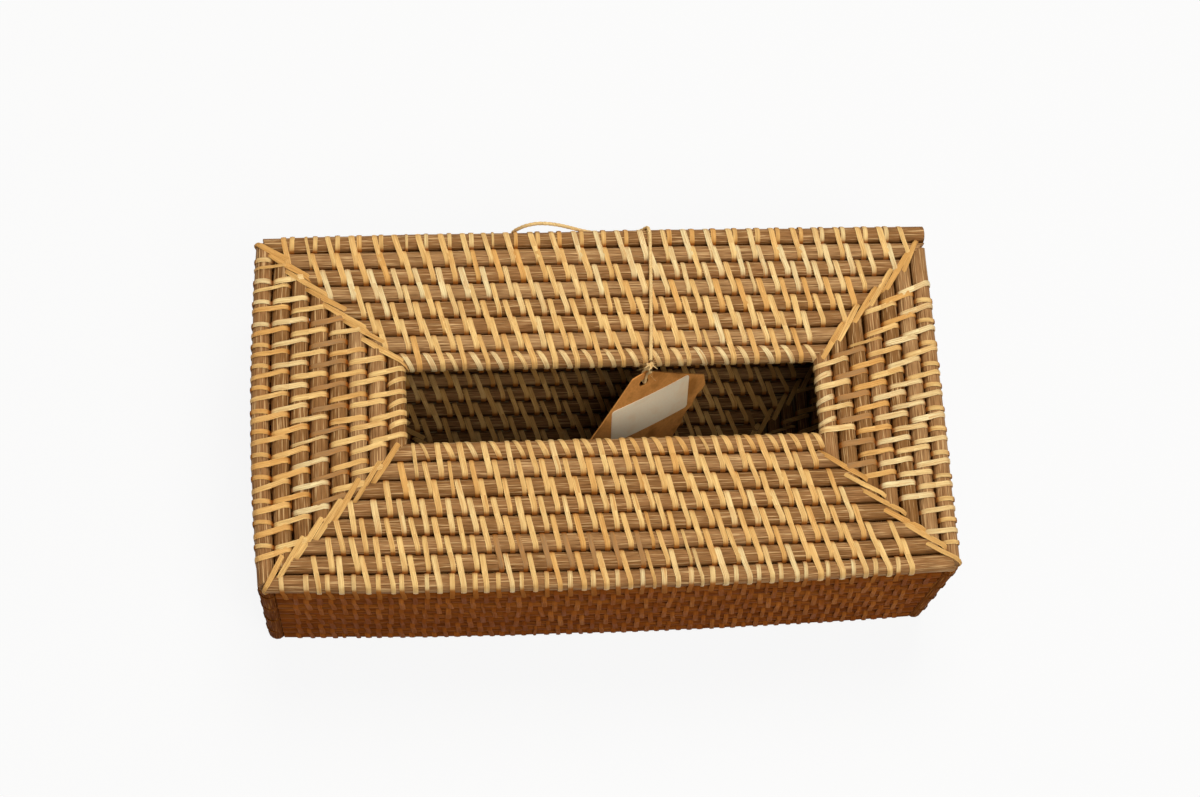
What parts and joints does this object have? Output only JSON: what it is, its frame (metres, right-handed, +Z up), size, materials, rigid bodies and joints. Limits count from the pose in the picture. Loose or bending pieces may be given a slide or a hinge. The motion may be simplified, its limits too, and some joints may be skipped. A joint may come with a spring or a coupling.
{
  "type": "tissue box cover",
  "caption": "Rectangular rattan tissue box cover with a long slot, laced from brown core canes over a separate woven base panel, with a bare card tag tied at the slot.",
  "frame": {"origin": "centre of the cover's footprint on the surface that it rests on", "axes": "+X along the long side, +Z up, the pictured front towards -Y"},
  "size_m": [0.28, 0.1536, 0.0813],
  "materials": {
    "cane": "satin, antique brown stain",
    "wall_cane": "satin, darker brown stain",
    "peel": "satin, golden rattan peel",
    "wall_peel": "satin, rattan peel, stained darker",
    "card": "matte kraft card",
    "sticker": "matte blank paper",
    "string": "matte natural twine"
  },
  "bodies": {
    "base": {"base_front_canes": "cane", "base_rear_canes": "cane", "base_left_canes": "cane", "base_right_canes": "cane", "base_front_lacing": "peel", "base_rear_lacing": "peel", "base_left_lacing": "peel", "base_right_lacing": "peel", "base_mitre_strips": "peel"},
    "cover": {"top_front_canes": "cane", "top_rear_canes": "cane", "top_left_canes": "cane", "top_right_canes": "cane", "front_wall_canes": "wall_cane", "rear_wall_canes": "wall_cane", "left_wall_canes": "wall_cane", "right_wall_canes": "wall_cane", "post_front_left": "cane", "post_front_right": "cane", "post_rear_left": "cane", "post_rear_right": "cane", "top_front_lacing": "peel", "top_rear_lacing": "peel", "top_left_lacing": "peel", "top_right_lacing": "peel", "front_wall_lacing": "wall_peel", "rear_wall_lacing": "wall_peel", "left_wall_lacing": "wall_peel", "right_wall_lacing": "wall_peel", "slot_rim_wraps": "peel", "foot_wraps": "wall_peel", "post_wraps_front": "wall_peel", "post_wraps_rear": "wall_peel", "top_mitre_strips": "peel", "string_knot": "string", "tag_string": "string"},
    "tag": {"tag_card": "card", "tag_sticker": "sticker", "tag_tie": "string"}
  },
  "joints": [
    {"name": "cover_lift", "type": "slide", "parent": "base", "child": "cover", "axis": [0, 0, 1], "range_m": [0, 0.1]},
    {"name": "tag_swing", "type": "hinge", "parent": "cover", "child": "tag", "pos_m": [0.0196, 0.0145, 0.0766], "axis": [-1, 0, 0], "range_deg": [0, 20]}
  ]
}
